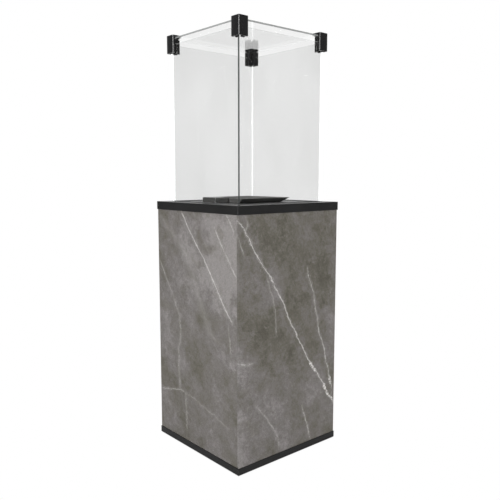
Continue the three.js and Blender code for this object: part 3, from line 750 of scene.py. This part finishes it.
def pane(node, thin_axis, face, end):
    """A pane: clear faces, denser ends, faint upper edges. The foot of each pane is dark with painted shade,
    and so are the ends that meet at the near left corner. The other ends, the upper edges and the lid's far
    edges glow with painted light."""
    obj = refined(node, face, 0.0)

    def choose(normal, centre):
        if abs(normal[thin_axis]) > 0.9:
            return face
        if end is LID_EDGE and normal.x + normal.y > 0.5:
            return LID_FAR_EDGE
        if normal.z > 0.9:
            return TOP_EDGE
        if normal.z < -0.9:
            return DARK_EDGE
        if abs(normal.z) < 0.1 and end is PALE_EDGE and centre.x < 0.0 and centre.y < 0.0:
            return DARK_EDGE
        return end

    paint_by_normal(obj, choose)


for pane_node, pane_axis in (("front", 1), ("rear", 1), ("left", 0), ("right", 0)):
    pane("glass_pane_" + pane_node, pane_axis, PANE, PALE_EDGE)
pane("glass_lid", 2, LID, LID_EDGE)


# ---------------------------------------------------------------- camera, floor and light


def camera():
    data = bpy.data.cameras.new("camera")
    data.sensor_width = 36.0
    data.lens = CAMERA_LENS
    data.clip_end = 50.0
    made = bpy.data.objects.new("camera", data)
    bpy.context.scene.collection.objects.link(made)
    made.location = CAMERA_PLACE
    made.rotation_euler = (math.pi / 2 - CAMERA_TILT_DOWN, 0.0, CAMERA_HEADING)
    bpy.context.scene.camera = made


def floor():
    """Pure white to the camera, and a pale grey floor to the light. Under the column it shows its shade."""
    made, t, place = material("studio_floor")
    tone = t.ramp(t.noise(place, 2.0, 3.0, 0.5), 0.3, 0.7, 0.60, 0.62)
    paint = t.node("ShaderNodeBsdfDiffuse", {"Color": t.grey(tone)}).outputs[0]
    x, y, _ = t.split(place)
    reach = t.math("MAXIMUM", t.math("ABSOLUTE", x), t.math("ABSOLUTE", y))
    beside = t.ramp(reach, HALF_SIDE - 4 * MM, HALF_SIDE)
    direct = t.node("ShaderNodeLightPath").outputs["Is Camera Ray"]
    lit = t.node("ShaderNodeEmission", {"Color": PURE_WHITE, "Strength": 1.0}).outputs[0]
    surface(t, t.blend(t.math("MULTIPLY", direct, beside), paint, lit))
    mesh = bpy.data.meshes.new("floor")
    signs = ((-1, -1), (1, -1), (1, 1), (-1, 1))
    corners = [(across * FLOOR_HALF, back * FLOOR_HALF, 0) for across, back in signs]
    mesh.from_pydata(corners, [], [(0, 1, 2, 3)])
    mesh.materials.append(made)
    obj = bpy.data.objects.new("floor", mesh)
    bpy.context.scene.collection.objects.link(obj)


def area_light(name, place, aim, size, power, reflection_only=False):
    """A soft light that the camera does not see. It shows in reflections only, or in none."""
    data = bpy.data.lights.new(name, "AREA")
    data.shape = "RECTANGLE"
    data.size, data.size_y = size
    data.energy = power
    made = bpy.data.objects.new(name, data)
    bpy.context.scene.collection.objects.link(made)
    made.location = place
    made.rotation_mode = "QUATERNION"
    made.rotation_quaternion = (Vector(aim) - Vector(place)).to_track_quat("-Z", "Y")
    made.visible_camera = False
    made.visible_glossy = reflection_only
    made.visible_diffuse = not reflection_only


def world():
    """Pure white to the camera. To the light it is darker, with a bright band behind the column near the
    horizon, which the deck and the underside of the lid reflect."""
    made = bpy.data.worlds.new("studio")
    bpy.context.scene.world = made
    made.use_nodes = True
    made.node_tree.nodes.clear()
    t = Tree(made.node_tree)
    x, y, z = t.split(t.node("ShaderNodeTexCoord").outputs["Generated"])
    plain = t.ramp(z, -0.1, 0.9, 0.22, 0.60)
    behind = t.ramp(t.math("ADD", x, y), 0.6, 1.25)
    level = t.ramp(t.math("ABSOLUTE", z), 0.62, 0.32)
    tone = t.math("ADD", t.math("MULTIPLY", behind, level), plain)
    seen = t.node("ShaderNodeBackground", {"Color": PURE_WHITE, "Strength": 1.0}).outputs[0]
    light = t.node("ShaderNodeBackground", {"Color": t.grey(tone), "Strength": 0.8}).outputs[0]
    direct = t.node("ShaderNodeLightPath").outputs["Is Camera Ray"]
    output = t.node("ShaderNodeOutputWorld")
    t.tree.links.new(t.blend(direct, light, seen), output.inputs["Surface"])


camera()
floor()
world()
area_light("key", (-3.2, -1.0, 2.0), (0, 0, 0.5), (2.0, 2.0), 86.0)
area_light("fill", (0.8, -3.2, 0.7), (0, 0, 0.3), (2.0, 1.2), 36.0)
area_light("top", (0.3, 0.6, 3.0), (0, 0, 0.8), (2.0, 2.0), 20.0)
area_light("front_strip", (-2.6, -2.4, 1.4), (0, 0, 1.0), (2.2, 2.2), 300.0, reflection_only=True)

view = bpy.context.scene.view_settings
view.view_transform = "Standard"
view.look = "None"
